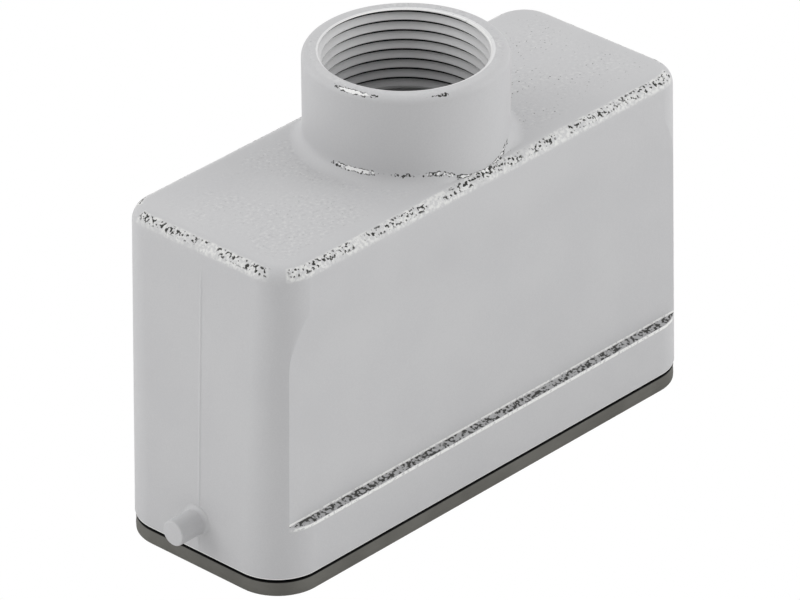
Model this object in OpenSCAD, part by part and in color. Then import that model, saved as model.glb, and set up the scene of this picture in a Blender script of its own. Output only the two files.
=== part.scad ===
// Heavy duty rectangular connector, cable side: a die-cast hood with a threaded
// cable entry on top, two locking pegs, a rim seal, and a sixteen-pin male insert.
// Millimetres. +X runs along the length, +Z up through the cable entry, and the
// origin is the centre of the seal's underside, on which the connector stands.

/* [Hood] */
// Length of the hood at its rim, without the pegs
hood_length = 86.2; // [85:0.1:90]
// Width of the hood at its rim
hood_width = 32; // [31.8:0.1:34]
// Height of the flat top
top_z = 50.6; // [49:0.1:56]
// Radius of the upright corners at the rim
corner_r = 7.1; // [6.5:0.1:8]
// Radius of the upright corners at the top
top_corner_r = 5.4; // [4.5:0.1:6]
// Radius of the rounded edge round the top
top_edge_r = 2.4; // [1.5:0.1:3]
// Draft of the end walls, in degrees
end_draft = 2.3; // [0:0.1:2.6]
// Wall thickness at the rim
rim_wall = 3.2; // [2.8:0.1:3.4]
// Thickness of the roof
roof = 2.4; // [2:0.1:3]

/* [Ledge] */
// Height of the ledge on the long sides
ledge_z = 10.7; // [8:0.1:14]
// Distance that the skirt below the ledge stands proud of the recess above it
ledge_depth = 1.2; // [0.6:0.1:1.4]
// Height of the sloping face of the ledge
ledge_rise = 0.3; // [0.2:0.1:0.6]
// Height at which the recess above the ledge starts to run out
recess_low_z = 35; // [20:0.5:38]
// Height at which the recess has run out
recess_high_z = 46.5; // [42:0.5:47]

/* [Cable entry] */
// Outer radius of the collar
collar_r = 14.45; // [13.8:0.05:14.8]
// Height of the collar above the flat top
collar_h = 13.4; // [10:0.1:18]
// Radius of the rounded edge at the collar's mouth
collar_edge_r = 1.1; // [0.3:0.1:1.2]
// Radius of the fillet at the collar's foot
collar_foot_r = 0.5; // [0.3:0.1:0.7]
// Radius of the entry at the crests of its thread
entry_r = 11.7; // [11:0.05:12]
// Chamfer at the mouth of the entry
entry_chamfer = 0.15; // [0.1:0.05:0.5]

/* [Locking pegs] */
// Radius of each peg
peg_r = 1.9; // [1.5:0.05:2.4]
// Distance over the two pegs
peg_span = 95.2; // [93:0.1:97]
// Height of the pegs' centre line
peg_z = 7.4; // [6.4:0.1:8.2]

/* [Seal] */
// Height of the seal that shows below the rim
seal_h = 2.6; // [2:0.1:3]
// Distance that the seal's edge stands back from the hood's
seal_inset = 0.18; // [0.1:0.02:0.3]
// Shadow gap between the seal's outer edge and the rim
seal_gap = 0.35; // [0.1:0.05:0.4]

/* [Insert] */
// Spacing of the fixing screws along the length
fixing_x = 66; // [65:0.5:67]
// Spacing of the fixing screws across the width
fixing_y = 16; // [15.5:0.5:16.5]
// Height of the mating face, which the pins stand out of
mating_z = 11; // [10:0.5:12]
// Height of the top of the insulator
insulator_top_z = 33; // [32:0.5:34]
// Spacing of the pins along each row
pin_pitch = 6.6; // [6.4:0.1:6.8]
// Distance between the two rows of pins
row_spacing = 10.4; // [10:0.1:10.8]
// Radius of each pin
pin_r = 1.25; // [1:0.05:1.3]
// Height of the pins' tips
pin_tip_z = 2.4; // [1:0.1:4]

/* [Hidden] */
$fn = 96;
hull_fn = 40;
skin = 0.01;

// hood
ledge_y = hood_width / 2 - ledge_depth;
collar_top_z = top_z + collar_h;
roof_z = top_z - roof;
side_slack = 0.12;
cavity_r = 4;
cavity_length = hood_length - 2 * rim_wall;
cavity_width = hood_width - 2 * rim_wall;
cavity_top_length = cavity_length - 3.2;
cavity_top_width = cavity_width - 0.4;
peg_root_x = hood_length / 2 - 0.4;
peg_foot_r = 0.5;
peg_edge_r = 0.3;
peg_sunk = 1.2;
groove_w = 1;
groove_h = 1.6;
tongue_slack = 0.05;
boss_r = 3.6;
web_w = 3;

// fixing screws, M3, drawn plain at the thread's nominal size
fixing_hole_r = 1.5;
fixing_shank_r = 1.45;
fixing_head_r = 2.75;
fixing_head_h = 2.2;
fixing_reach = 6;
fixing_end_gap = 2;
lock_washer_h = 0.7;

// insulator
flange_z = 14;
flange_h = 3;
flange_length = 72.4;
flange_width = 21.4;
block_length = 58;
block_width = 16.8;
tower_length = 55.6;
tower_width = 17.2;
tower_r = 1.2;
block_chamfer = 0.6;
hole_slack = 0.05;
fixing_hole_slack = 0.2;
key_w = 2.4;
key_depth = 1.2;
pin_well_r = 2.1;
pin_well_h = 0.5;
window_r = 1.7;

// contacts
columns = 8;
collar_contact_r = 1.9;
barrel_r = 2.2;
barrel_z = 20;
barrel_top_z = insulator_top_z - 1;
wire_hole_r = 1.3;
wire_hole_depth = 8;
pin_nose = 0.6;
clamp_z = 27.5;
clamp_r = 1.3;
clamp_slack = 0.03;
clamp_length = 2.1;
clamp_start = 1.1;
slot_w = 0.5;
slot_h = 0.6;

// earth contacts
earth_plate_z = flange_z + flange_h;
earth_plate_h = 1;
earth_plate_in_x = 28.6;
earth_plate_out_x = 36;
earth_plate_w = 21;
blade_x = 30.1;
blade_t = 0.9;
blade_w = 6;
blade_tip_z = 5.6;
blade_slack = 0.06;
earth_screw_x = 33.5;
earth_screw_r = 1.9;
earth_hole_r = 1.95;
earth_head_r = 3.3;
earth_head_h = 2.2;
earth_screw_depth = 3;
clamp_plate_w = 6.8;
clamp_plate_h = 1.1;
boss_z = earth_plate_z + earth_plate_h;

function contact_name(i) = str("contact_", i < 9 ? "0" : "", i + 1);
function contact_x(i) = (i % columns - (columns - 1) / 2) * pin_pitch;
function contact_side(i) = i < columns ? -1 : 1;

// ---------- shapes used more than once ----------

module rounded_rect(l, w, r) {
    square([l - 2 * r, w], center = true);
    square([l, w - 2 * r], center = true);
    for (x = [-1, 1], y = [-1, 1])
        translate([x * (l / 2 - r), y * (w / 2 - r)]) circle(r);
}

module slab(l, w, r, z, h) {
    translate([0, 0, z]) linear_extrude(h) rounded_rect(l, w, r);
}

module ring(l, w, r, wall, z, h) {
    translate([0, 0, z]) linear_extrude(h) difference() {
        rounded_rect(l, w, r);
        rounded_rect(l - 2 * wall, w - 2 * wall, r - wall);
    }
}

module tube(r, z, h) {
    translate([0, 0, z]) cylinder(r = r, h = h);
}

module at_fixings() {
    for (x = [-1, 1], y = [-1, 1])
        translate([x * fixing_x / 2, y * fixing_y / 2, 0]) children();
}

module at_contacts() {
    for (i = [0 : 2 * columns - 1])
        translate([contact_x(i), contact_side(i) * row_spacing / 2, 0]) children();
}

// turns a shape made along +Z so that it runs out along +Y or -Y
module outwards(side) {
    rotate([-90 * side, 0, 0]) children();
}

// ---------- hood: one casting with its collar, pegs and bosses ----------

module hood_skin() {
    narrow = 2 * (top_z - top_edge_r - seal_h) * tan(end_draft);
    ring_x = (hood_length - narrow) / 2 - top_corner_r;
    ring_y = hood_width / 2 - side_slack - top_corner_r;
    hull($fn = hull_fn) {
        slab(hood_length, hood_width, corner_r, seal_h, skin, $fn = hull_fn);
        slab(hood_length - 2 * (ledge_z - seal_h) * tan(end_draft), hood_width, corner_r,
             ledge_z, skin, $fn = hull_fn);
        for (x = [-1, 1], y = [-1, 1])
            translate([x * ring_x, y * ring_y, top_z - top_edge_r])
                rotate_extrude($fn = hull_fn)
                    translate([top_corner_r - top_edge_r, 0]) circle(top_edge_r, $fn = hull_fn);
    }
}

// the long sides stand back above the ledge, so the corners keep a soft crease there
module ledge_cut(side) {
    reach = 2;
    run_out = (recess_high_z - recess_low_z) / ledge_depth;
    length = hood_length + 2;
    mirror([0, side < 0 ? 1 : 0, 0])
        translate([-length / 2, 0, 0]) rotate([90, 0, 90]) linear_extrude(length)
            polygon([
                [ledge_y, recess_low_z],
                [ledge_y, ledge_z + ledge_rise],
                [ledge_y + reach, ledge_z + ledge_rise - reach * ledge_rise / ledge_depth],
                [ledge_y + reach, recess_low_z + reach * run_out]
            ]);
}

module collar() {
    foot_z = roof_z + 0.2;
    rotate_extrude() {
        translate([entry_r - 1, foot_z])
            square([collar_r - entry_r + 1, collar_top_z - collar_edge_r - foot_z]);
        translate([entry_r - 1, foot_z])
            square([collar_r - collar_edge_r - entry_r + 1, collar_top_z - foot_z]);
        translate([collar_r - collar_edge_r, collar_top_z - collar_edge_r]) circle(collar_edge_r);
        difference() {
            translate([entry_r, foot_z])
                square([collar_r + collar_foot_r - entry_r, top_z + collar_foot_r - foot_z]);
            translate([collar_r + collar_foot_r, top_z + collar_foot_r]) circle(collar_foot_r);
        }
    }
}

module peg(side) {
    length = peg_span / 2 - peg_root_x;
    translate([side * peg_root_x, 0, peg_z]) rotate([0, 90 * side, 0])
        rotate_extrude() {
            translate([0, -peg_sunk]) square([peg_r, peg_sunk + length - peg_edge_r]);
            square([peg_r - peg_edge_r, length]);
            translate([peg_r - peg_edge_r, length - peg_edge_r])
                intersection() {
                    circle(peg_edge_r);
                    square(peg_edge_r);
                }
            difference() {
                translate([0, -peg_sunk]) square([peg_r + peg_foot_r, peg_sunk + peg_foot_r]);
                translate([peg_r + peg_foot_r, peg_foot_r]) circle(peg_foot_r);
            }
        }
}

module cavity() {
    hull($fn = hull_fn) {
        slab(cavity_length, cavity_width, cavity_r, seal_h - 1, skin, $fn = hull_fn);
        slab(cavity_top_length, cavity_top_width, cavity_r, roof_z - skin, skin, $fn = hull_fn);
    }
}

// a screw boss hangs from the roof in each corner, tied to both walls by webs
module boss() {
    height = roof_z + 0.5 - boss_z;
    translate([fixing_x / 2, fixing_y / 2, boss_z]) cylinder(r = boss_r, h = height);
    translate([fixing_x / 2 - web_w / 2, fixing_y / 2, boss_z])
        cube([web_w, hood_width / 2 - 2.2 - fixing_y / 2, height]);
    translate([fixing_x / 2, fixing_y / 2 - web_w / 2, boss_z])
        cube([hood_length / 2 - 3 - fixing_x / 2, web_w, height]);
}

module hood() {
    color([0.77, 0.77, 0.78]) difference() {
        union() {
            difference() {
                hood_skin();
                ledge_cut(-1);
                ledge_cut(1);
                cavity();
            }
            collar();
            peg(-1);
            peg(1);
            for (x = [0, 1], y = [0, 1]) mirror([x, 0, 0]) mirror([0, y, 0]) boss();
        }
        tube(entry_r, roof_z - 2, collar_top_z);
        translate([0, 0, collar_top_z - entry_chamfer])
            cylinder(r1 = entry_r, r2 = entry_r + entry_chamfer + skin, h = entry_chamfer + skin);
        ring(hood_length - rim_wall + groove_w, hood_width - rim_wall + groove_w,
             corner_r - rim_wall / 2 + groove_w / 2, groove_w, seal_h - 1, groove_h + 1);
        at_fixings() tube(fixing_hole_r, boss_z - 1, 1 + fixing_reach + fixing_end_gap);
    }
}

// ---------- seal: a flat ring with a tongue that sits in the rim's groove ----------

module seal() {
    lip = 0.5;
    land = 1;
    land_h = 0.4;
    outer_l = hood_length - 2 * seal_inset;
    outer_w = hood_width - 2 * seal_inset;
    wall = rim_wall - seal_inset + lip;
    shoulder = 1;
    tongue_w = groove_w - 2 * tongue_slack;
    color([0.42, 0.42, 0.40]) difference() {
        union() {
            ring(outer_l, outer_w, corner_r - seal_inset, wall, 0, seal_h - seal_gap);
            ring(outer_l - 2 * shoulder, outer_w - 2 * shoulder, corner_r - seal_inset - shoulder,
                 wall - shoulder, seal_h - seal_gap - skin, seal_gap + skin);
            ring(hood_length - rim_wall + tongue_w, hood_width - rim_wall + tongue_w,
                 corner_r - rim_wall / 2 + tongue_w / 2, tongue_w,
                 seal_h - skin, groove_h - 0.1 + skin);
        }
        ring(outer_l - 2 * land, outer_w - 2 * land, corner_r - seal_inset - land,
             wall - 2 * land, -1, 1 + land_h);
    }
}

// ---------- insulator of the male insert ----------

module insert_body() {
    color([0.80, 0.80, 0.77]) difference() {
        union() {
            slab(block_length, block_width, tower_r, mating_z + block_chamfer,
                 flange_z + 1 - mating_z - block_chamfer);
            slab(block_length - 2 * block_chamfer, block_width - 2 * block_chamfer, tower_r,
                 mating_z, block_chamfer + skin);
            slab(flange_length, flange_width, 2.2, flange_z, flange_h);
            slab(tower_length, tower_width, tower_r, flange_z, insulator_top_z - flange_z);
        }
        at_contacts() {
            tube(pin_r + hole_slack, mating_z - 1, flange_z);
            tube(pin_well_r, mating_z - 1, 1 + pin_well_h);
            tube(collar_contact_r + hole_slack, barrel_z - 3, 4);
            tube(barrel_r + hole_slack, barrel_z, insulator_top_z);
        }
        for (i = [0 : 2 * columns - 1])
            translate([contact_x(i), contact_side(i) * row_spacing / 2, clamp_z])
                outwards(contact_side(i)) cylinder(r = window_r, h = tower_width);
        at_fixings() tube(fixing_shank_r + fixing_hole_slack, flange_z - 1, flange_h + 2);
        for (side = [-1, 1]) {
            translate([side * (blade_x + blade_t / 2), 0, flange_z + flange_h / 2])
                cube([blade_t + 2 * blade_slack, blade_w + 2 * blade_slack, flange_h + 2],
                     center = true);
            translate([side * earth_screw_x, 0, 0])
                tube(earth_hole_r + 0.2, flange_z + flange_h - earth_screw_depth + 0.4,
                     earth_screw_depth);
        }
        // polarising notch, at one end only
        translate([block_length / 2 - key_depth, -key_w / 2, mating_z - 1])
            cube([key_depth + 1, key_w, flange_z - mating_z + 1]);
    }
}

// ---------- contacts: turned pins with a screw terminal ----------

module contact(i) {
    side = contact_side(i);
    color([0.80, 0.79, 0.76])
    translate([contact_x(i), side * row_spacing / 2, 0]) difference() {
        union() {
            translate([0, 0, pin_tip_z]) cylinder(r1 = pin_r - pin_nose / 2, r2 = pin_r, h = pin_nose);
            tube(pin_r, pin_tip_z + pin_nose, barrel_z - 3 - pin_tip_z - pin_nose + skin);
            tube(collar_contact_r, barrel_z - 3, 3 + skin);
            tube(barrel_r, barrel_z, barrel_top_z - barrel_z);
        }
        tube(wire_hole_r, barrel_top_z - wire_hole_depth, wire_hole_depth + 1);
        translate([0, 0, clamp_z]) outwards(side) cylinder(r = clamp_r + clamp_slack, h = barrel_r + 1);
    }
}

module terminal_screws() {
    color([0.74, 0.72, 0.66])
    for (i = [0 : 2 * columns - 1])
        translate([contact_x(i), contact_side(i) * row_spacing / 2, clamp_z])
            outwards(contact_side(i)) translate([0, 0, clamp_start]) difference() {
                cylinder(r = clamp_r, h = clamp_length);
                translate([-clamp_r - 1, -slot_w / 2, clamp_length - slot_h])
                    cube([2 * clamp_r + 2, slot_w, slot_h + 1]);
            }
}

// ---------- earth contacts, one at each end ----------

module earth_plate(side) {
    blade_h = earth_plate_z - blade_tip_z;
    color([0.72, 0.73, 0.72]) mirror([side < 0 ? 1 : 0, 0, 0]) difference() {
        union() {
            translate([earth_plate_in_x, -earth_plate_w / 2, earth_plate_z])
                cube([earth_plate_out_x - earth_plate_in_x, earth_plate_w, earth_plate_h]);
            translate([blade_x, -blade_w / 2, blade_tip_z]) cube([blade_t, blade_w, blade_h + skin]);
        }
        for (y = [-1, 1])
            translate([fixing_x / 2, y * fixing_y / 2, 0])
                tube(fixing_shank_r + fixing_hole_slack, earth_plate_z - 1, earth_plate_h + 2);
        translate([earth_screw_x, 0, 0]) tube(earth_hole_r, earth_plate_z - 1, earth_plate_h + 2);
    }
}

module earth_clamp(side) {
    z = earth_plate_z + earth_plate_h;
    color([0.70, 0.71, 0.70]) translate([side * earth_screw_x, 0, 0]) difference() {
        translate([0, 0, z + clamp_plate_h / 2])
            cube([clamp_plate_w, clamp_plate_w, clamp_plate_h], center = true);
        tube(earth_hole_r + 0.1, z - 1, clamp_plate_h + 2);
    }
}

module earth_screw(side) {
    z = earth_plate_z + earth_plate_h + clamp_plate_h;
    shank = z - flange_z - flange_h + earth_screw_depth - 0.6;
    color([0.70, 0.71, 0.70]) translate([side * earth_screw_x, 0, 0]) difference() {
        union() {
            tube(earth_screw_r, z - shank, shank + skin);
            tube(earth_head_r, z, earth_head_h);
        }
        cross_recess(z + earth_head_h, 3.6);
    }
}

// a cross of two slots cut down into a screw head whose face is at height z
module cross_recess(z, size) {
    width = 0.9;
    depth = 1.3;
    for (turn = [0, 90])
        rotate([0, 0, turn]) translate([-size / 2, -width / 2, z - depth])
            cube([size, width, depth + 1]);
}

// ---------- screws that hold the insert up against the hood's bosses ----------

module fixing_screws() {
    seat = flange_z - lock_washer_h;
    top = boss_z + fixing_reach;
    color([0.70, 0.71, 0.70]) at_fixings() difference() {
        union() {
            tube(fixing_head_r, seat - fixing_head_h, fixing_head_h);
            tube(fixing_shank_r, seat - skin, top - seat + skin);
        }
        translate([-fixing_head_r - 1, -slot_w, seat - fixing_head_h - 1])
            cube([2 * fixing_head_r + 2, 2 * slot_w, 1 + fixing_head_h / 2]);
    }
}

module fixing_lock_washers() {
    color([0.66, 0.67, 0.67]) at_fixings() difference() {
        tube(fixing_head_r - 0.1, flange_z - lock_washer_h, lock_washer_h);
        tube(fixing_shank_r + 0.1, flange_z - lock_washer_h - 1, lock_washer_h + 2);
    }
}

hood();
seal();
insert_body();
earth_plate(-1);  // earth_plate_left
earth_plate(1);  // earth_plate_right
earth_clamp(-1);  // earth_clamp_left
earth_clamp(1);  // earth_clamp_right
earth_screw(-1);  // earth_screw_left
earth_screw(1);  // earth_screw_right
fixing_screws();
fixing_lock_washers();
terminal_screws();
for (i = [0 : 2 * columns - 1])
    contact(i);
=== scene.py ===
"""Looks of a heavy duty rectangular connector: a powder-coated hood with a threaded
cable entry, its rubber seal, and the male insert inside. Shapes are worked out in
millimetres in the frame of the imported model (+X along the hood, +Z up through the
cable entry) and become metres when their mesh is made."""
import math

import bmesh
import bpy
import numpy as np
from mathutils import Matrix, Vector


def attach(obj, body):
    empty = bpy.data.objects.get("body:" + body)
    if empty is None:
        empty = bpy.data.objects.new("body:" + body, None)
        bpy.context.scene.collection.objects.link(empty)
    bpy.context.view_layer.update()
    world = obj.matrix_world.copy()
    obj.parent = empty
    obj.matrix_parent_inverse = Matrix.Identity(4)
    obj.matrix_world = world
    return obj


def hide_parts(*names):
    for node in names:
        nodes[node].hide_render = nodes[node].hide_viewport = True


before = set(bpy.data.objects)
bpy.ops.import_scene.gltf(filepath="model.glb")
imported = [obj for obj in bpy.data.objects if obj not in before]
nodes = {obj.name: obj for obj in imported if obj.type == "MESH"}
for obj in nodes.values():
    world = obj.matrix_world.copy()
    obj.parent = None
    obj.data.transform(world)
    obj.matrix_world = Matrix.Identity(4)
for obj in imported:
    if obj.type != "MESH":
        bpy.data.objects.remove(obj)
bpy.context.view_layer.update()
MM = 0.001
scene = bpy.context.scene

# ---------------------------------------------------------------- camera
CAMERA_TURN = math.radians(46.8)      # the camera stands off the left front corner
CAMERA_RISE = math.radians(29.8)
CAMERA_ROLL = math.radians(0.5)
CAMERA_DISTANCE = 1.081
CAMERA_LENS = 347.5                   # on a sensor 36 mm wide
AIM = Vector((0.0, 0.0, 0.0253))
AIM_RIGHT = -0.00108                  # the aim point, moved in the picture's plane
AIM_UP = -0.00097


def make_camera():
    turn, rise, roll = CAMERA_TURN, CAMERA_RISE, CAMERA_ROLL
    right = Vector((math.cos(turn), -math.sin(turn), 0))
    ahead = Vector((math.sin(turn) * math.cos(rise), math.cos(turn) * math.cos(rise), -math.sin(rise)))
    up = right.cross(ahead)
    right, up = (right * math.cos(roll) - up * math.sin(roll),
                 right * math.sin(roll) + up * math.cos(roll))
    aim = AIM + right * AIM_RIGHT + up * AIM_UP
    data = bpy.data.cameras.new("camera")
    data.lens = CAMERA_LENS
    data.sensor_width = 36
    data.clip_start, data.clip_end = 0.05, 20
    camera = bpy.data.objects.new("camera", data)
    place = Matrix((right, up, -ahead)).transposed().to_4x4()
    place.translation = aim - ahead * CAMERA_DISTANCE
    camera.matrix_world = place
    scene.collection.objects.link(camera)
    scene.camera = camera


# ---------------------------------------------------------------- mesh tools
def mesh_object(name, verts, faces):
    """A new object from points in millimetres."""
    mesh = bpy.data.meshes.new(name)
    mesh.from_pydata([tuple(v) for v in np.asarray(verts, float) * MM], [], faces)
    mesh.validate()
    obj = bpy.data.objects.new(name, mesh)
    scene.collection.objects.link(obj)
    return obj


def face_outwards(obj):
    work = bmesh.new()
    work.from_mesh(obj.data)
    bmesh.ops.recalc_face_normals(work, faces=work.faces)
    work.to_mesh(obj.data)
    work.free()
    return obj


def loft(name, rings):
    """A closed solid through rings of equally many points, with flat ends."""
    count = len(rings[0])
    verts = np.vstack(rings)
    faces = []
    for k in range(len(rings) - 1):
        low, high = k * count, (k + 1) * count
        for i in range(count):
            j = (i + 1) % count
            faces.append((low + i, low + j, high + j, high + i))
    last = (len(rings) - 1) * count
    faces.append(tuple(range(count))[::-1])
    faces.append(tuple(range(last, last + count)))
    return face_outwards(mesh_object(name, verts, faces))


def revolve(name, section, steps):
    """A closed solid turned about Z. section(turn) gives a closed profile of
    (radius, height) points, equally many at every turn."""
    rings = []
    for k in range(steps):
        turn = 2 * math.pi * k / steps
        rings.append([(radius * math.cos(turn), radius * math.sin(turn), height)
                      for radius, height in section(turn)])
    count = len(rings[0])
    faces = []
    for k in range(steps):
        here, there = k * count, (k + 1) % steps * count
        for i in range(count):
            j = (i + 1) % count
            faces.append((here + i, there + i, there + j, here + j))
    return face_outwards(mesh_object(name, np.vstack(rings), faces))


def turned(name, profile, steps):
    """A closed solid turned about Z from an open profile of (radius, height) points
    that starts and ends on the axis."""
    inner = profile[1:-1]
    rings = [[(r * math.cos(a), r * math.sin(a), z) for r, z in inner]
             for a in (2 * math.pi * k / steps for k in range(steps))]
    count = len(inner)
    verts = list(np.vstack(rings)) + [(0, 0, profile[0][1]), (0, 0, profile[-1][1])]
    start, end = len(verts) - 2, len(verts) - 1
    faces = []
    for k in range(steps):
        here, there = k * count, (k + 1) % steps * count
        faces += [(here + i, there + i, there + i + 1, here + i + 1) for i in range(count - 1)]
        faces.append((start, there, here))
        faces.append((end, here + count - 1, there + count - 1))
    return face_outwards(mesh_object(name, verts, faces))


def arc(cx, cy, radius, start, end, steps):
    """Points along an arc, angles in degrees."""
    return [(cx + radius * math.cos(math.radians(a)), cy + radius * math.sin(math.radians(a)))
            for a in np.linspace(start, end, steps + 1)]


def combine(target, tool, operation):
    """Boolean of two solids. The tool is used up."""
    modifier = target.modifiers.new("combine", "BOOLEAN")
    modifier.operation = operation
    modifier.solver = "MANIFOLD"
    modifier.object = tool
    bpy.context.view_layer.update()
    result = bpy.data.meshes.new_from_object(target.evaluated_get(bpy.context.evaluated_depsgraph_get()))
    target.modifiers.clear()
    target.data = result
    bpy.data.objects.remove(tool)
    return target


# ---------------------------------------------------------------- hood
HOOD_LENGTH = 86.2
HOOD_WIDTH = 32.0
RIM_Z = 2.6
TOP_Z = 50.6
CORNER_R = 7.1
TOP_CORNER_R = 5.4
TOP_EDGE_R = 2.4
RIM_EDGE_R = 0.3
END_DRAFT = math.tan(math.radians(2.3))
LEDGE_Z = 10.7
LEDGE_DEPTH = 1.2
LEDGE_RISE = 0.3
RECESS_FADE_Z = (35.0, 46.5)          # the recess above the ledge runs out between these
TOP_SLACK = 0.12                      # the top is this much narrower on each long side
WALL = 3.2
ROOF = 2.4
COLLAR_R = 14.45
COLLAR_TOP_Z = 64.0
COLLAR_EDGE_R = 1.1
FOOT_R = 1.9
FOOT_MARGIN = 0.4                     # the foot stays this far inside the long faces
ENTRY_R = 11.7
ENTRY_CHAMFER = 0.12
THREAD_PITCH = 1.5
THREAD_DEPTH = 0.62
THREAD_RISE = 0.80                    # the flank that faces the mouth
THREAD_ROOT = 0.22
THREAD_UNDERCUT = 0.38                # the flank that faces away from it
THREAD_END_Z = 51.8
RELIEF_R = 12.8
PEG_R = 1.9
PEG_TIP_X = 47.6
PEG_Z = 7.4
PEG_FOOT_R = 0.6
PEG_EDGE_R = 0.25
SEAM_H = 0.1
SEAM_W = 0.22
SEAM_Y = -0.5                         # the mould parted a little off the middle
SEAM_SPREAD = 5.0
SEAM_FADE_Z = (44.5, 47.0)
CORNER_STEPS = 18
EDGE_STEPS = 10


def smooth_step(low, high, value):
    t = min(max((value - low) / (high - low), 0.0), 1.0)
    return t * t * (3 - 2 * t)


def soft_min(a, b, width):
    """The lower of a and b, rounded over where they cross."""
    gap = max(width - abs(a - b), 0.0) / width
    return min(a, b) - gap * gap * width / 4


def side_y(z):
    """Half the width between the long faces, which stand back above the ledge."""
    depth = LEDGE_DEPTH * smooth_step(LEDGE_Z - 0.05, LEDGE_Z + LEDGE_RISE, z)
    return HOOD_WIDTH / 2 + 0.1 - (depth + 0.1) * (1 - smooth_step(*RECESS_FADE_Z, z))


def quarter(half_x, half_y, radius, seam, crease):
    """A quarter of the outline, from the middle of the +X end to the middle of the +Y side,
    with a point where the corner turns through the crease angle."""
    points = [(half_x + seam * lift, y) for y, lift in
              ((0, 1), (SEAM_W * 0.45, 0.75), (SEAM_W, 0.1), (SEAM_W * 1.6, 0), (2, 0), (5, 0))]
    points += arc(half_x - radius, half_y - radius, radius, 0, crease, CORNER_STEPS)
    points += arc(half_x - radius, half_y - radius, radius, crease, 90, CORNER_STEPS // 2)[1:]
    points += [(x, half_y) for x in (30, 24, 18, 12, 6, 0)]
    return points


def outline(z, inset=0.0, seam=0.0):
    """The hood's outline at a height, drawn in by inset, with a seam on each end."""
    seam *= 1 - smooth_step(*SEAM_FADE_Z, z)
    up = (z - RIM_Z) / (TOP_Z - RIM_Z)
    half_x = HOOD_LENGTH / 2 - (z - RIM_Z) * END_DRAFT - inset
    half_y = HOOD_WIDTH / 2 - up * TOP_SLACK - inset
    radius = CORNER_R + (TOP_CORNER_R - CORNER_R) * up - inset
    limit = side_y(z) - inset
    meets = side_y(max(z, LEDGE_Z + LEDGE_RISE)) - inset - half_y + radius
    crease = math.degrees(math.asin(min(max(meets / radius, 0.2), 0.996)))
    part = [(x, soft_min(y, limit, 0.03)) for x, y in quarter(half_x, half_y, radius, seam, crease)]
    top = part + [(-x, y) for x, y in part[-2::-1]]
    ring = top + [(x, -y) for x, y in top[-2:0:-1]]
    return [(x, y + SEAM_Y * max(0, 1 - abs(y) / SEAM_SPREAD) if abs(x) > half_x / 2 else y, z)
            for x, y in ring]


def hood_skin():
    rings = [outline(RIM_Z, RIM_EDGE_R), outline(RIM_Z + 0.04, 0.13), outline(RIM_Z + 0.13, 0.04),
             outline(RIM_Z + RIM_EDGE_R)]
    rings += [outline(z, seam=SEAM_H) for z in (5, 7.5, 9.5)]
    rings += [outline(z, seam=SEAM_H)
              for z in np.linspace(LEDGE_Z - 0.25, LEDGE_Z + LEDGE_RISE + 0.2, 14)]
    fillet_z = TOP_Z - TOP_EDGE_R
    rings += [outline(z, seam=SEAM_H) for z in (12.5, 16, 20, 24, 28, 32)]
    rings += [outline(z, seam=SEAM_H) for z in np.linspace(RECESS_FADE_Z[0], fillet_z, 14)]
    for turn in np.linspace(0, math.pi / 2, EDGE_STEPS + 1)[1:]:
        inset = TOP_EDGE_R * (1 - math.cos(turn))
        ring = outline(fillet_z, inset, seam=SEAM_H * math.cos(turn))
        rings.append([(x, y, fillet_z + TOP_EDGE_R * math.sin(turn)) for x, y, _ in ring])
    return loft("hood_coat", rings)


def top_height(x, y):
    """Height of the hood's top at a point, down its rounded long edges."""
    over = abs(y) - (HOOD_WIDTH / 2 - TOP_SLACK - TOP_EDGE_R)
    if over <= 0:
        return TOP_Z
    return TOP_Z - TOP_EDGE_R + math.sqrt(max(TOP_EDGE_R ** 2 - over ** 2, 0))


def foot_shape(turn):
    """Radius of the fillet at the collar's foot, and the height where it runs out.
    It narrows where the collar comes close to the hood's long faces."""
    lean = max(abs(math.sin(turn)), 0.5)
    radius = min(FOOT_R, (HOOD_WIDTH / 2 - FOOT_MARGIN) / lean - COLLAR_R)
    reach = COLLAR_R + radius
    return radius, top_height(reach * math.cos(turn), reach * math.sin(turn))


def collar_solid():
    """The collar, whose foot follows the hood's top and its rounded edges."""
    core = 6.0
    sunk = 1.2
    edge_z = COLLAR_TOP_Z - COLLAR_EDGE_R

    def section(turn):
        foot, base = foot_shape(turn)
        profile = [(core, base - sunk), (COLLAR_R + foot, base - sunk), (COLLAR_R + foot, base - 0.02)]
        profile += [(r, base + z) for r, z in arc(COLLAR_R + foot, foot, foot, 270, 180, 10)]
        profile += [(COLLAR_R, z) for z in np.linspace(base + foot + 0.25, edge_z, 5)]
        profile += arc(COLLAR_R - COLLAR_EDGE_R, edge_z, COLLAR_EDGE_R, 0, 90, 12)[1:]
        return profile + [(core, COLLAR_TOP_Z)]

    return revolve("collar", section, 180)


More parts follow.
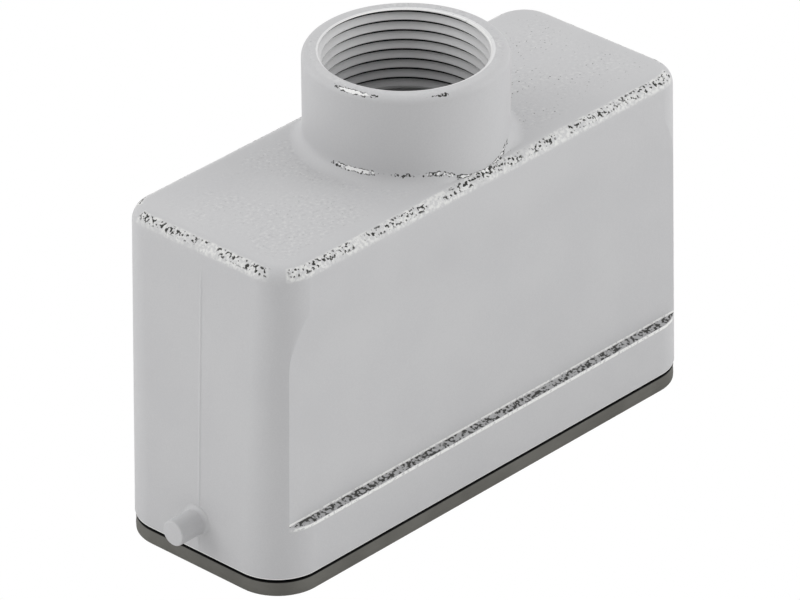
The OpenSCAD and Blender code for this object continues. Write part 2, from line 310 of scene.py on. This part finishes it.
def thread_cutter():
    """A closed screw shape that cuts the entry's thread, its relief and its chamfer."""
    steps = 144
    stations = np.cumsum([0, THREAD_RISE, THREAD_ROOT, THREAD_UNDERCUT])
    raised = [0, 1, 1, 0]
    turns = int((COLLAR_TOP_Z + 1.2 - THREAD_END_Z) / THREAD_PITCH) + 1
    offsets, lifts = [], []
    for k in range(turns):
        offsets += list(k * THREAD_PITCH + stations)
        lifts += raised
    per_turn = len(stations)
    rows = len(offsets)
    columns = []
    for i in range(steps):
        turn = i / steps
        column = []
        for z, lift in zip(offsets, lifts):
            height = THREAD_END_Z + z + turn * THREAD_PITCH - THREAD_PITCH
            fade = smooth_step(THREAD_END_Z - 0.4, THREAD_END_Z + 0.9, height)
            radius = ENTRY_R + THREAD_DEPTH * lift * fade
            angle = 2 * math.pi * turn
            column.append((radius * math.cos(angle), radius * math.sin(angle), height))
        columns.append(column)
    verts = [p for column in columns for p in column]
    faces = []
    for i in range(steps - 1):
        a, b = i * rows, (i + 1) * rows
        faces += [(a + j, b + j, b + j + 1, a + j + 1) for j in range(rows - 1)]
    a, b = (steps - 1) * rows, per_turn
    faces += [(a + j, b + j, b + j + 1, a + j + 1) for j in range(rows - 1 - per_turn)]
    # ends: a flat ring below and above, each closed by a face over the helix's step
    low_z, high_z = THREAD_END_Z - THREAD_PITCH - 0.5, COLLAR_TOP_Z + 4
    angles = [2 * math.pi * i / steps for i in range(steps)]
    ring_low = len(verts)
    verts += [(ENTRY_R * math.cos(a), ENTRY_R * math.sin(a), low_z) for a in angles]
    ring_high = len(verts)
    verts += [(ENTRY_R * math.cos(a), ENTRY_R * math.sin(a), high_z) for a in angles]
    for i in range(steps - 1):
        faces.append((ring_low + i, ring_low + i + 1, (i + 1) * rows, i * rows))
        faces.append((i * rows + rows - 1, (i + 1) * rows + rows - 1, ring_high + i + 1, ring_high + i))
    last = (steps - 1) * rows
    faces.append((ring_low + steps - 1, ring_low) + tuple(range(per_turn + 1)) + (last,))
    top_step = tuple(last + j for j in range(rows - 1, rows - 2 - per_turn, -1))
    faces.append(top_step + (rows - 1, ring_high, ring_high + steps - 1))
    faces.append(tuple(range(ring_low, ring_low + steps))[::-1])
    faces.append(tuple(range(ring_high, ring_high + steps)))
    return face_outwards(mesh_object("thread_cutter", verts, faces))


def disc_solid(name, stations, steps=128):
    """A turned solid through (radius, height) stations, flat at both ends."""
    profile = [(0, stations[0][1])] + stations + [(0, stations[-1][1])]
    return turned(name, profile, steps)


def place(obj, x=0.0, y=0.0, z=0.0, turn=None):
    """Moves a mesh, after an optional turn, and leaves the object at the origin."""
    matrix = Matrix.Translation((x * MM, y * MM, z * MM))
    if turn:
        axis, angle = turn
        matrix = matrix @ Matrix.Rotation(math.radians(angle), 4, axis)
    obj.data.transform(matrix)
    return obj


def peg_solid(side):
    root_x = HOOD_LENGTH / 2 - (PEG_Z - RIM_Z) * END_DRAFT
    sunk = 1.2
    foot, edge = PEG_FOOT_R, PEG_EDGE_R
    length = PEG_TIP_X - root_x
    stations = [(PEG_R + foot, -sunk), (PEG_R + foot, -0.15)]
    stations += arc(PEG_R + foot, foot, foot, 268, 180, 6)
    stations += arc(PEG_R - edge, length - edge, edge, 0, 90, 6)
    peg = disc_solid("peg", stations, 64)
    return place(peg, x=side * root_x, z=PEG_Z, turn=("Y", 90 * side))


def rounded_ring(half_x, half_y, radius, z, corner_steps=10):
    corner = arc(half_x - radius, half_y - radius, radius, 0, 90, corner_steps)
    part = [(half_x, 0)] + corner + [(0, half_y)]
    top = part + [(-x, y) for x, y in part[-2::-1]]
    ring = top + [(x, -y) for x, y in top[-2:0:-1]]
    return [(x, y, z) for x, y in ring]


def cavity_solid():
    half_x, half_y = HOOD_LENGTH / 2 - WALL, HOOD_WIDTH / 2 - WALL
    roof_z = TOP_Z - ROOF
    return loft("cavity", [
        rounded_ring(half_x + 0.15, half_y + 0.15, 4.15, RIM_Z - 1),
        rounded_ring(half_x + 0.15, half_y + 0.15, 4.15, RIM_Z + 0.1),
        rounded_ring(half_x, half_y, 4, RIM_Z + 0.35),
        rounded_ring(half_x - 1.55, half_y - 0.2, 4, roof_z - 0.8),
        rounded_ring(half_x - 1.85, half_y - 0.5, 3.7, roof_z - 0.2),
        rounded_ring(half_x - 2.4, half_y - 1.0, 3.2, roof_z)])


BOSS_Z = 18.0
BOSS_R = 3.6
FIXING_X, FIXING_Y = 33.0, 8.0


def bosses(hood):
    """Four screw bosses under the roof, each tied to both walls by a web, with a blind hole."""
    height = TOP_Z - ROOF + 0.5 - BOSS_Z
    for sx in (-1, 1):
        for sy in (-1, 1):
            edge = 0.25
            post = disc_solid("boss", [(BOSS_R - edge, 0), (BOSS_R, edge), (BOSS_R, height)], 48)
            combine(hood, place(post, sx * FIXING_X, sy * FIXING_Y, BOSS_Z), "UNION")
            for dx, dy, length, width in (
                    (0, (HOOD_WIDTH / 2 - 2.2 - FIXING_Y) / 2, 3.0, HOOD_WIDTH / 2 - 2.2 - FIXING_Y),
                    ((HOOD_LENGTH / 2 - 3 - FIXING_X) / 2, 0, HOOD_LENGTH / 2 - 3 - FIXING_X, 3.0)):
                web = loft("web", [rounded_ring(length / 2, width / 2, 0.2, z, 2)
                                   for z in (0, height)])
                place(web, sx * (FIXING_X + dx), sy * (FIXING_Y + dy), BOSS_Z + 0.01)
                combine(hood, web, "UNION")
    for sx in (-1, 1):
        for sy in (-1, 1):
            hole = disc_solid("hole", [(1.5, 0), (1.5, 9)], 32)
            combine(hood, place(hole, sx * FIXING_X, sy * FIXING_Y, BOSS_Z - 1), "DIFFERENCE")


def groove_cutter():
    """The slot round the rim that holds the seal's tongue."""
    mid_x, mid_y, mid_r = (HOOD_LENGTH - WALL) / 2, (HOOD_WIDTH - WALL) / 2, CORNER_R - WALL / 2
    half = 0.5
    outer = loft("groove", [rounded_ring(mid_x + half, mid_y + half, mid_r + half, z)
                            for z in (RIM_Z - 1, RIM_Z + 1.6)])
    inner = loft("island", [rounded_ring(mid_x - half, mid_y - half, mid_r - half, z)
                            for z in (RIM_Z - 2, RIM_Z + 3)])
    return combine(outer, inner, "DIFFERENCE")


def make_hood():
    hood = hood_skin()
    combine(hood, cavity_solid(), "DIFFERENCE")
    combine(hood, collar_solid(), "UNION")
    for side in (-1, 1):
        combine(hood, peg_solid(side), "UNION")
    bosses(hood)
    combine(hood, groove_cutter(), "DIFFERENCE")
    combine(hood, thread_cutter(), "DIFFERENCE")
    relief = disc_solid("relief", [(RELIEF_R - 0.5, TOP_Z - ROOF - 2), (RELIEF_R, TOP_Z - ROOF - 1.2),
                                   (RELIEF_R, THREAD_END_Z - 0.7), (ENTRY_R - 0.3, THREAD_END_Z)])
    combine(hood, relief, "DIFFERENCE")
    mouth = disc_solid("mouth", [(ENTRY_R - 0.2, COLLAR_TOP_Z - ENTRY_CHAMFER - 0.2),
                                 (ENTRY_R + ENTRY_CHAMFER + 0.2, COLLAR_TOP_Z + 0.2),
                                 (ENTRY_R + ENTRY_CHAMFER + 0.2, COLLAR_TOP_Z + 1)])
    combine(hood, mouth, "DIFFERENCE")
    return hood


# ---------------------------------------------------------------- seal
SEAL_TOP_Z = RIM_Z - 0.42
SEAL_INSET = 0.12
SEAL_INNER = WALL + 0.5
SEAL_LIP_R = 0.15
SEAL_STEP = 1.15                      # how far in the seal meets the rim


def seal_profile():
    """Section of the seal: distance in from the hood's outer face, and height."""
    top, lip = SEAL_TOP_Z, SEAL_LIP_R
    start, end = SEAL_INSET, SEAL_INNER
    mid = WALL / 2
    profile = [(mid - 1.1, 0.4), (mid - 1.0, 0.12), (start + 0.75, 0.0), (start + lip, 0.0)]
    profile += [(start + lip - lip * math.sin(a), lip - lip * math.cos(a))
                for a in np.linspace(0, math.pi / 2, 5)[1:]]
    profile += [(start - 0.02, top * 0.35), (start, top * 0.5), (start + 0.05, top * 0.62)]
    profile += [(start + lip - lip * math.cos(a), top - lip + lip * math.sin(a))
                for a in np.linspace(0, math.pi / 2, 5)[:-1]]
    profile += [(start + lip, top), (SEAL_STEP - 0.05, top), (SEAL_STEP, RIM_Z - 0.01),
                (mid - 0.44, RIM_Z - 0.01),
                (mid - 0.42, RIM_Z + 1.3), (mid - 0.3, RIM_Z + 1.45), (mid + 0.3, RIM_Z + 1.45),
                (mid + 0.42, RIM_Z + 1.3), (mid + 0.45, RIM_Z - 0.01), (end - 0.25, RIM_Z - 0.01),
                (end, RIM_Z - 0.25), (end, 0.25), (end - 0.25, 0.0), (end - 0.7, 0.0),
                (mid + 1.0, 0.12), (mid + 1.1, 0.4)]
    return profile


def make_seal():
    rings = []
    for inset, z in seal_profile():
        radius = max(CORNER_R - inset, 0.5)
        rings.append(rounded_ring(HOOD_LENGTH / 2 - inset, HOOD_WIDTH / 2 - inset, radius, z, 16))
    count, sections = len(rings[0]), len(rings)
    faces = []
    for k in range(sections):
        here, there = k * count, (k + 1) % sections * count
        faces += [(here + i, here + (i + 1) % count, there + (i + 1) % count, there + i)
                  for i in range(count)]
    return face_outwards(mesh_object("seal_ring", np.vstack(rings), faces))


# ---------------------------------------------------------------- materials
class Shader:
    """A material with its Principled shader, and short ways to add nodes to it."""

    def __init__(self, name, **sockets):
        self.material = bpy.data.materials.new(name)
        self.material.use_nodes = True
        self.tree = self.material.node_tree
        self.main = self.tree.nodes["Principled BSDF"]
        for socket, value in sockets.items():
            self.main.inputs[socket.replace("_", " ")].default_value = value
        self.place = self.add("ShaderNodeTexCoord").outputs["Object"]

    def add(self, kind, **settings):
        node = self.tree.nodes.new(kind)
        for key, value in settings.items():
            setattr(node, key, value)
        return node

    def put(self, value, socket):
        """Sets a socket to a number or colour, or links it to another socket."""
        if isinstance(value, bpy.types.NodeSocket):
            self.tree.links.new(value, socket)
        else:
            socket.default_value = value

    def maths(self, operation, a, b=0.0, clamp=False):
        node = self.add("ShaderNodeMath", operation=operation, use_clamp=clamp)
        self.put(a, node.inputs[0])
        self.put(b, node.inputs[1])
        return node.outputs[0]

    def noise(self, size, detail=2.0, rough=0.5, stretch=(1, 1, 1)):
        """Noise whose features are about size millimetres across."""
        node = self.add("ShaderNodeTexNoise")
        node.inputs["Scale"].default_value = 1000 / size
        node.inputs["Detail"].default_value = detail
        node.inputs["Roughness"].default_value = rough
        spread = self.add("ShaderNodeMapping")
        spread.inputs["Scale"].default_value = stretch
        self.put(self.place, spread.inputs["Vector"])
        self.put(spread.outputs[0], node.inputs["Vector"])
        return node.outputs["Fac"]

    def steps(self, value, low, high, out_low=0.0, out_high=1.0):
        node = self.add("ShaderNodeMapRange", interpolation_type="SMOOTHSTEP")
        for socket, number in zip(("From Min", "From Max", "To Min", "To Max"),
                                  (low, high, out_low, out_high)):
            node.inputs[socket].default_value = number
        self.put(value, node.inputs["Value"])
        return node.outputs[0]

    def product(self, *factors):
        total = factors[0]
        for factor in factors[1:]:
            total = self.maths("MULTIPLY", total, factor)
        return total

    def band(self, value, low, high, soft):
        """One between low and high, fading over soft on either side."""
        return self.product(self.steps(value, low - soft, low + soft),
                            self.steps(value, high + soft, high - soft))

    def mix(self, share, a, b):
        node = self.add("ShaderNodeMix", data_type="RGBA")
        self.put(share, node.inputs["Factor"])
        self.put(a, node.inputs["A"])
        self.put(b, node.inputs["B"])
        return node.outputs["Result"]

    def bump(self, height, depth):
        """Bump of a height from 0 to 1, depth in millimetres."""
        node = self.add("ShaderNodeBump")
        node.inputs["Strength"].default_value = 1.0
        node.inputs["Distance"].default_value = depth * MM
        self.put(height, node.inputs["Height"])
        return node.outputs[0]

    def finish(self, colour=None, rough=None, normal=None):
        for value, name in ((colour, "Base Color"), (rough, "Roughness"), (normal, "Normal")):
            if value is not None:
                self.put(value, self.main.inputs[name])
        return self.material


def grey(value, warm=0.0):
    return (value * (1 + warm), value, value * (1 - warm), 1)


LEDGE_HIGHLIGHT_ABOVE = 0.35                   # painted highlights: pale lines above and below the ledge, in height
LEDGE_HIGHLIGHT_BELOW = 0.55
RIM_HIGHLIGHT_HEIGHT = 0.24                       # and a painted highlight on the hood's lower edge
# near black for the coat's flaws and for painted shade; near white for painted highlights
FLAW_AND_SHADE_BLACK = (0.012, 0.012, 0.009, 1)
HIGHLIGHT_WHITE = (0.97, 0.97, 0.96, 1)


def powder_coat():
    """Light grey powder coat: orange peel, a faint grain on top, and painted highlights that sparkle
    along edges, with painted shade in the ledge's corner and under the rim.
    """
    s = Shader("powder_coat_grey", Roughness=0.5)
    s.main.inputs["Specular IOR Level"].default_value = 0.4
    # the edge attribute holds how strong the painted highlight is on the collar's rim and foot
    glint_mask = s.add("ShaderNodeAttribute", attribute_name="edge").outputs["Fac"]
    place, facing = s.add("ShaderNodeSeparateXYZ"), s.add("ShaderNodeSeparateXYZ")
    s.put(s.place, place.inputs[0])
    s.put(s.add("ShaderNodeNewGeometry").outputs["Normal"], facing.inputs[0])
    x, y, z = (s.maths("MULTIPLY", place.outputs[axis], 1000) for axis in "XYZ")
    lean_x, lean_y = (s.maths("ABSOLUTE", facing.outputs[axis]) for axis in "XY")
    rise = facing.outputs["Z"]
    radius = s.maths("SQRT", s.maths("ADD", s.maths("MULTIPLY", x, x), s.maths("MULTIPLY", y, y)))

    # plain coat, with a faint grain on the flat of the top
    peel, grain, cloud = s.noise(0.9, 2.0, 0.55), s.noise(0.22, 2.0, 0.6), s.noise(14.0, 2.0)
    flecks, speck_noise = s.noise(0.55, 1.5, 0.5), s.noise(0.46, 1.0)
    shade = s.maths("ADD", s.maths("MULTIPLY", cloud, 0.5), s.maths("MULTIPLY", grain, 0.5))
    colour = s.mix(s.steps(shade, 0.35, 0.65), (0.575, 0.575, 0.585, 1), (0.605, 0.605, 0.612, 1))
    flat = s.product(s.steps(rise, 0.97, 0.995), s.steps(s.maths("ABSOLUTE", x), 39.5, 35.5),
                     s.steps(s.maths("ABSOLUTE", y), 13.5, 10.0), s.steps(z, TOP_Z - 0.1, TOP_Z - 0.05),
                     s.steps(s.noise(8.0, 1.0), 0.38, 0.58, 0.3, 1.0))
    light = s.product(s.steps(flecks, 0.55, 0.68), flat, 0.22)
    dark = s.product(s.steps(flecks, 0.45, 0.34), flat, 0.16)
    colour = s.mix(light, colour, (0.88, 0.88, 0.86, 1))
    colour = s.mix(dark, colour, (0.33, 0.33, 0.34, 1))
    rare = s.product(s.steps(speck_noise, 0.69, 0.74), flat, s.steps(x, 8.0, 20.0, 0.25, 1.0))

    # rounded top edges: a painted highlight, a pale mottled band, with painted dark specks along its
    # middle
    straight = s.maths("MAXIMUM", s.steps(s.maths("DIVIDE", lean_x, lean_y), 0.9, 0.75),
                       s.steps(s.maths("DIVIDE", lean_x, lean_y), 2.2, 2.8))
    on_edge = s.product(straight, s.steps(z, TOP_Z - TOP_EDGE_R, TOP_Z - TOP_EDGE_R + 0.2),
                        s.steps(z, TOP_Z + 0.02, TOP_Z - 0.01),
                        s.steps(radius, COLLAR_R - 0.3, COLLAR_R + 0.1))
    band = s.product(on_edge, s.steps(rise, 0.24, 0.46), s.steps(rise, 0.96, 0.90))
    core = s.product(on_edge, s.steps(rise, 0.50, 0.62), s.steps(rise, 0.93, 0.87))
    mottle = s.noise(0.5, 2.0, 0.6)
    # painted highlight along the rounded top edges
    pale = s.product(band, s.steps(mottle, 0.40, 0.62, 0.25, 1.0),
                     s.steps(s.noise(5.0, 1.0), 0.36, 0.5, 0.45, 1.0))
    # painted dark specks in the middle of that painted highlight
    glint_dark_specks = s.product(core, s.steps(speck_noise, 0.55, 0.60), s.steps(s.noise(4.0, 1.0), 0.34, 0.44))

    # the collar's foot and rim: a painted highlight, a white core with painted dark specks at its
    # borders, strongest where the edge attribute is high
    glint_level = s.maths("ADD", glint_mask, s.maths("MULTIPLY", s.maths("SUBTRACT", mottle, 0.5), 0.9))
    white = s.steps(glint_level, 0.62, 0.70)
    glint_dark_border = s.product(s.steps(glint_level, 0.40, 0.46), s.steps(glint_level, 0.64, 0.58),
                       s.steps(flecks, 0.44, 0.52))

    # the ledge: painted shade along the inner corner, with painted highlights as pale lines above and
    # below it
    ledge = s.product(s.band(z, LEDGE_Z - 0.1, LEDGE_Z + LEDGE_RISE + 0.05, 0.05),
                      s.steps(rise, 0.2, 0.5), s.steps(s.maths("ABSOLUTE", y), 14.0, 14.4))
    on_long = s.product(s.steps(lean_y, 0.8, 0.95), s.steps(s.maths("ABSOLUTE", y), 14.0, 14.4))
    inner_z = LEDGE_Z + LEDGE_RISE
    above = s.band(z, inner_z, inner_z + LEDGE_HIGHLIGHT_ABOVE, 0.06)
    below = s.band(z, LEDGE_Z - LEDGE_HIGHLIGHT_BELOW, LEDGE_Z - 0.1, 0.10)
    # painted highlight as pale lines above and below the ledge
    ledge_highlight = s.product(on_long, s.maths("MAXIMUM", above, below),
                       s.steps(mottle, 0.36, 0.50, 0.15, 1.0))
    # painted shade in the ledge's inner corner, broken into specks
    crease_shade = s.product(ledge, s.steps(speck_noise, 0.46, 0.58, 0.22, 0.95))

    # painted highlights as pale lines on the lower edge and round the mouth, painted light that makes
    # the bore lighter towards the mouth, and painted shade that darkens the underside
    # painted highlight along the hood's lower edge
    lower = s.product(s.band(z, RIM_Z, RIM_Z + RIM_HIGHLIGHT_HEIGHT, 0.04), s.steps(rise, -0.9, -0.6))
    # painted highlight round the mouth's inner edge
    mouth = s.product(s.band(radius, ENTRY_R, ENTRY_R + ENTRY_CHAMFER + 0.12, 0.03),
                      s.steps(z, COLLAR_TOP_Z - 0.3, COLLAR_TOP_Z - 0.2))
    # painted light: the thread's crests are lighter towards the mouth
    lit_bore = s.product(s.steps(radius, ENTRY_R + THREAD_DEPTH + 0.1, ENTRY_R + THREAD_DEPTH),
                     s.steps(z, 54, 60))
    # painted shade: the rim's underside, in the gap over the seal, goes near black
    under = s.product(s.steps(rise, -0.5, -0.8), s.steps(z, RIM_Z + 0.1, RIM_Z + 0.05))

    colour = s.mix(s.product(lit_bore, 0.6), colour, (0.90, 0.90, 0.90, 1))
    colour = s.mix(s.product(pale, 0.75), colour, (0.88, 0.88, 0.86, 1))
    colour = s.mix(s.product(ledge_highlight, 0.9), colour, (0.97, 0.97, 0.95, 1))
    # painted highlights
    for amount in (white, lower, mouth):
        colour = s.mix(amount, colour, HIGHLIGHT_WHITE)
    # painted shade, painted dark specks, and the coat's own dark flaws
    for amount in (crease_shade, glint_dark_specks, rare, glint_dark_border, under):
        colour = s.mix(amount, colour, FLAW_AND_SHADE_BLACK)
    strength = s.maths("ADD", s.maths("MULTIPLY", flat, 0.3), 0.3)
    height = s.maths("MULTIPLY", s.maths("ADD", peel, s.maths("MULTIPLY", grain, 0.35)), strength)
    return s.finish(colour, None, s.bump(height, 0.05))


def thread_shadow():
    """Painted shade: a near black finish for the dark undersides of the thread's turns."""
    s = Shader("thread_painted_shade", Roughness=0.8)
    s.main.inputs["Specular IOR Level"].default_value = 0.1
    grain = s.noise(0.3, 2.0)
    return s.finish(s.mix(grain, grey(0.012), grey(0.02)), None, s.bump(grain, 0.02))


def seal_rubber():
    s = Shader("seal_rubber_grey", Roughness=0.62)
    s.main.inputs["Specular IOR Level"].default_value = 0.3
    cloud = s.noise(6.0, 3.0)
    grain = s.noise(0.15, 2.0, 0.6)
    colour = s.mix(s.steps(cloud, 0.3, 0.7), (0.135, 0.132, 0.118, 1), (0.165, 0.162, 0.146, 1))
    place = s.add("ShaderNodeSeparateXYZ")
    s.put(s.place, place.inputs[0])
    # painted shade: the seal goes near black above its outer top edge, in the gap under the rim
    gap_shade = s.steps(place.outputs["Z"], (SEAL_TOP_Z - 0.1) * MM, (SEAL_TOP_Z - 0.02) * MM)
    return s.finish(s.mix(gap_shade, colour, grey(0.006)), None, s.bump(grain, 0.015))


def insulator_plastic():
    s = Shader("insulator_pale_grey", Roughness=0.42)
    cloud = s.noise(9.0, 2.0)
    grain = s.noise(0.2, 2.0, 0.6)
    colour = s.mix(s.steps(cloud, 0.3, 0.7), (0.50, 0.50, 0.46, 1), (0.55, 0.55, 0.51, 1))
    return s.finish(colour, None, s.bump(grain, 0.012))


def metal(name, colour, rough, grain_size, depth, stretch=(1, 1, 1)):
    s = Shader(name, Metallic=1.0)
    lines = s.noise(grain_size, 3.0, 0.6, stretch)
    tint = s.mix(s.steps(lines, 0.3, 0.7), grey(colour * 0.9, 0.01), grey(colour, 0.01))
    return s.finish(tint, s.steps(lines, 0.25, 0.75, rough - 0.07, rough + 0.07), s.bump(lines, depth))


def dress(node, material):
    """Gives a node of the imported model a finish."""
    obj = bpy.data.objects.get(node)
    for slot in obj.material_slots:
        slot.material = material


# ---------------------------------------------------------------- stage and light
WORLD_STRENGTH = 0.85
DIM_STRENGTH = 0.45                   # the studio is darker towards this side
DIM_SIDE = (-0.715, -0.671, 0.2)
LAMPS = (                             # place in metres, watts, side in metres
    ("left_lamp", (-0.66, 0.58, 0.50), 1.6, 0.5),
    ("right_lamp", (0.58, -0.66, 0.42), 2.0, 0.5),
    ("top_lamp", (-0.45, 0.30, 0.8), 0.5, 0.5),
)


def make_lamps():
    for name, spot, watts, side in LAMPS:
        data = bpy.data.lights.new(name, "AREA")
        data.energy = watts
        data.size = side
        lamp = bpy.data.objects.new(name, data)
        lamp.location = spot
        lamp.rotation_euler = (Vector((0, 0, 0.03)) - Vector(spot)).to_track_quat("-Z", "Y").to_euler()
        scene.collection.objects.link(lamp)


def white_to_the_eye(tree, shader):
    """Shows white to camera rays and transmission rays, and the given shader to everything else."""
    new, link = tree.nodes.new, tree.links.new
    path = new("ShaderNodeLightPath")
    seen = new("ShaderNodeMath")
    seen.operation = "MAXIMUM"
    link(path.outputs["Is Camera Ray"], seen.inputs[0])
    link(path.outputs["Is Transmission Ray"], seen.inputs[1])
    is_world = shader.bl_idname == "ShaderNodeBackground"
    white = new("ShaderNodeBackground" if is_world else "ShaderNodeEmission")
    white.inputs["Strength"].default_value = 1.0
    mix = new("ShaderNodeMixShader")
    link(seen.outputs[0], mix.inputs["Fac"])
    link(shader.outputs[0], mix.inputs[1])
    link(white.outputs[0], mix.inputs[2])
    return mix


def make_world():
    world = bpy.data.worlds.new("studio")
    scene.world = world
    world.use_nodes = True
    tree = world.node_tree
    glow = tree.nodes["Background"]
    glow.inputs["Color"].default_value = (1, 1, 1, 1)
    ahead = tree.nodes.new("ShaderNodeVectorMath")
    ahead.operation = "DOT_PRODUCT"
    ahead.inputs[1].default_value = DIM_SIDE
    tree.links.new(tree.nodes.new("ShaderNodeTexCoord").outputs["Generated"], ahead.inputs[0])
    dim = tree.nodes.new("ShaderNodeMapRange")
    dim.interpolation_type = "SMOOTHSTEP"
    for socket, number in zip(("From Min", "From Max", "To Min", "To Max"),
                              (0.1, 0.95, WORLD_STRENGTH, DIM_STRENGTH)):
        dim.inputs[socket].default_value = number
    tree.links.new(ahead.outputs["Value"], dim.inputs["Value"])
    tree.links.new(dim.outputs[0], glow.inputs["Strength"])
    mix = white_to_the_eye(tree, glow)
    tree.links.new(mix.outputs[0], tree.nodes["World Output"].inputs["Surface"])


def make_floor():
    bpy.ops.mesh.primitive_plane_add(size=8)
    floor = bpy.context.object
    floor.name = "floor"
    material = bpy.data.materials.new("floor_white")
    material.use_nodes = True
    tree = material.node_tree
    paper = tree.nodes["Principled BSDF"]
    paper.inputs["Base Color"].default_value = (0.9, 0.9, 0.9, 1)
    paper.inputs["Roughness"].default_value = 0.8
    mix = white_to_the_eye(tree, paper)
    tree.links.new(mix.outputs[0], tree.nodes["Material Output"].inputs["Surface"])
    floor.data.materials.append(material)


def smooth(obj):
    for polygon in obj.data.polygons:
        polygon.use_smooth = True
    weighted = obj.modifiers.new("weighted_normals", "WEIGHTED_NORMAL")
    weighted.keep_sharp = True
    bpy.context.view_layer.objects.active = obj
    obj.data.set_sharp_from_angle(angle=math.radians(32))


def near(value, middle, reach):
    return max(0.0, 1 - abs(value - middle) / reach)


def glint_amount(point):
    """How strong the painted highlight is at a point of the collar's rim or foot, from 0 to 1."""
    x, y, z = point
    radius, turn = math.hypot(x, y), math.degrees(math.atan2(y, x)) % 360
    rim_side = max(near(turn, 192, 15) ** 0.3, 0.55 * near(turn, 205, 12),
                   0.6 * near(turn, 244, 12) ** 0.5)
    slant = math.degrees(math.atan2(z - COLLAR_TOP_Z + COLLAR_EDGE_R,
                                    radius - COLLAR_R + COLLAR_EDGE_R))
    rim = near(slant, 54, 38) * rim_side if radius > ENTRY_R + 0.6 and z > COLLAR_TOP_Z - 1.2 else 0
    foot_r, base = foot_shape(math.radians(turn))
    up = (z - base) / foot_r
    foot_side = max(near(turn, 193.5, 17) ** 0.25, 0.66 * near(turn, 221, 10) ** 0.3,
                    0.85 * near(turn, 242, 14) ** 0.3, 0.95 * near(turn, 270, 30) ** 0.3)
    foot = near(up, 0.78, 0.36) * foot_side if abs(radius - COLLAR_R) < 1.2 and up < 1.3 else 0
    return min(1.0, max(rim, foot))


def mark(obj, name, amount):
    attribute = obj.data.attributes.new(name, "FLOAT", "POINT")
    for k, vertex in enumerate(obj.data.vertices):
        attribute.data[k].value = amount(vertex.co / MM)


def paint_thread(obj):
    """The faces under the thread's turns take the second material, the painted shade."""
    for polygon in obj.data.polygons:
        centre, normal = polygon.center / MM, polygon.normal
        radius = math.hypot(centre.x, centre.y)
        under = normal.z < -0.3 or (radius > ENTRY_R + THREAD_DEPTH - 0.05 and abs(normal.z) < 0.3)
        inside = THREAD_END_Z - 0.5 < centre.z < COLLAR_TOP_Z and radius < ENTRY_R + THREAD_DEPTH + 0.1
        if inside and under:
            polygon.material_index = 1


make_camera()
make_world()
make_lamps()
make_floor()
scene.view_settings.view_transform = "Standard"

hood = make_hood()
smooth(hood)
# the edge attribute: how strong the painted highlight is on the collar's rim and foot
mark(hood, "edge", glint_amount)
hood.data.materials.clear()
hood.data.materials.append(powder_coat())
hood.data.materials.append(thread_shadow())
paint_thread(hood)
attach(hood, "root")
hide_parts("hood")

seal = make_seal()
smooth(seal)
seal.data.materials.append(seal_rubber())
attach(seal, "root")
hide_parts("seal")

silver = metal("contact_silver", 0.80, 0.28, 0.6, 0.008)
bright_steel = metal("screw_steel", 0.62, 0.32, 0.5, 0.01)
plate_steel = metal("plated_sheet", 0.66, 0.38, 0.8, 0.012, (1, 8, 1))
dress("insert_body", insulator_plastic())
for name in nodes:
    if name.startswith("contact_"):
        dress(name, silver)
    elif name.startswith(("earth_plate", "earth_clamp")):
        dress(name, plate_steel)
    elif "screws" in name or "washers" in name or name.startswith("earth_screw"):
        dress(name, bright_steel)
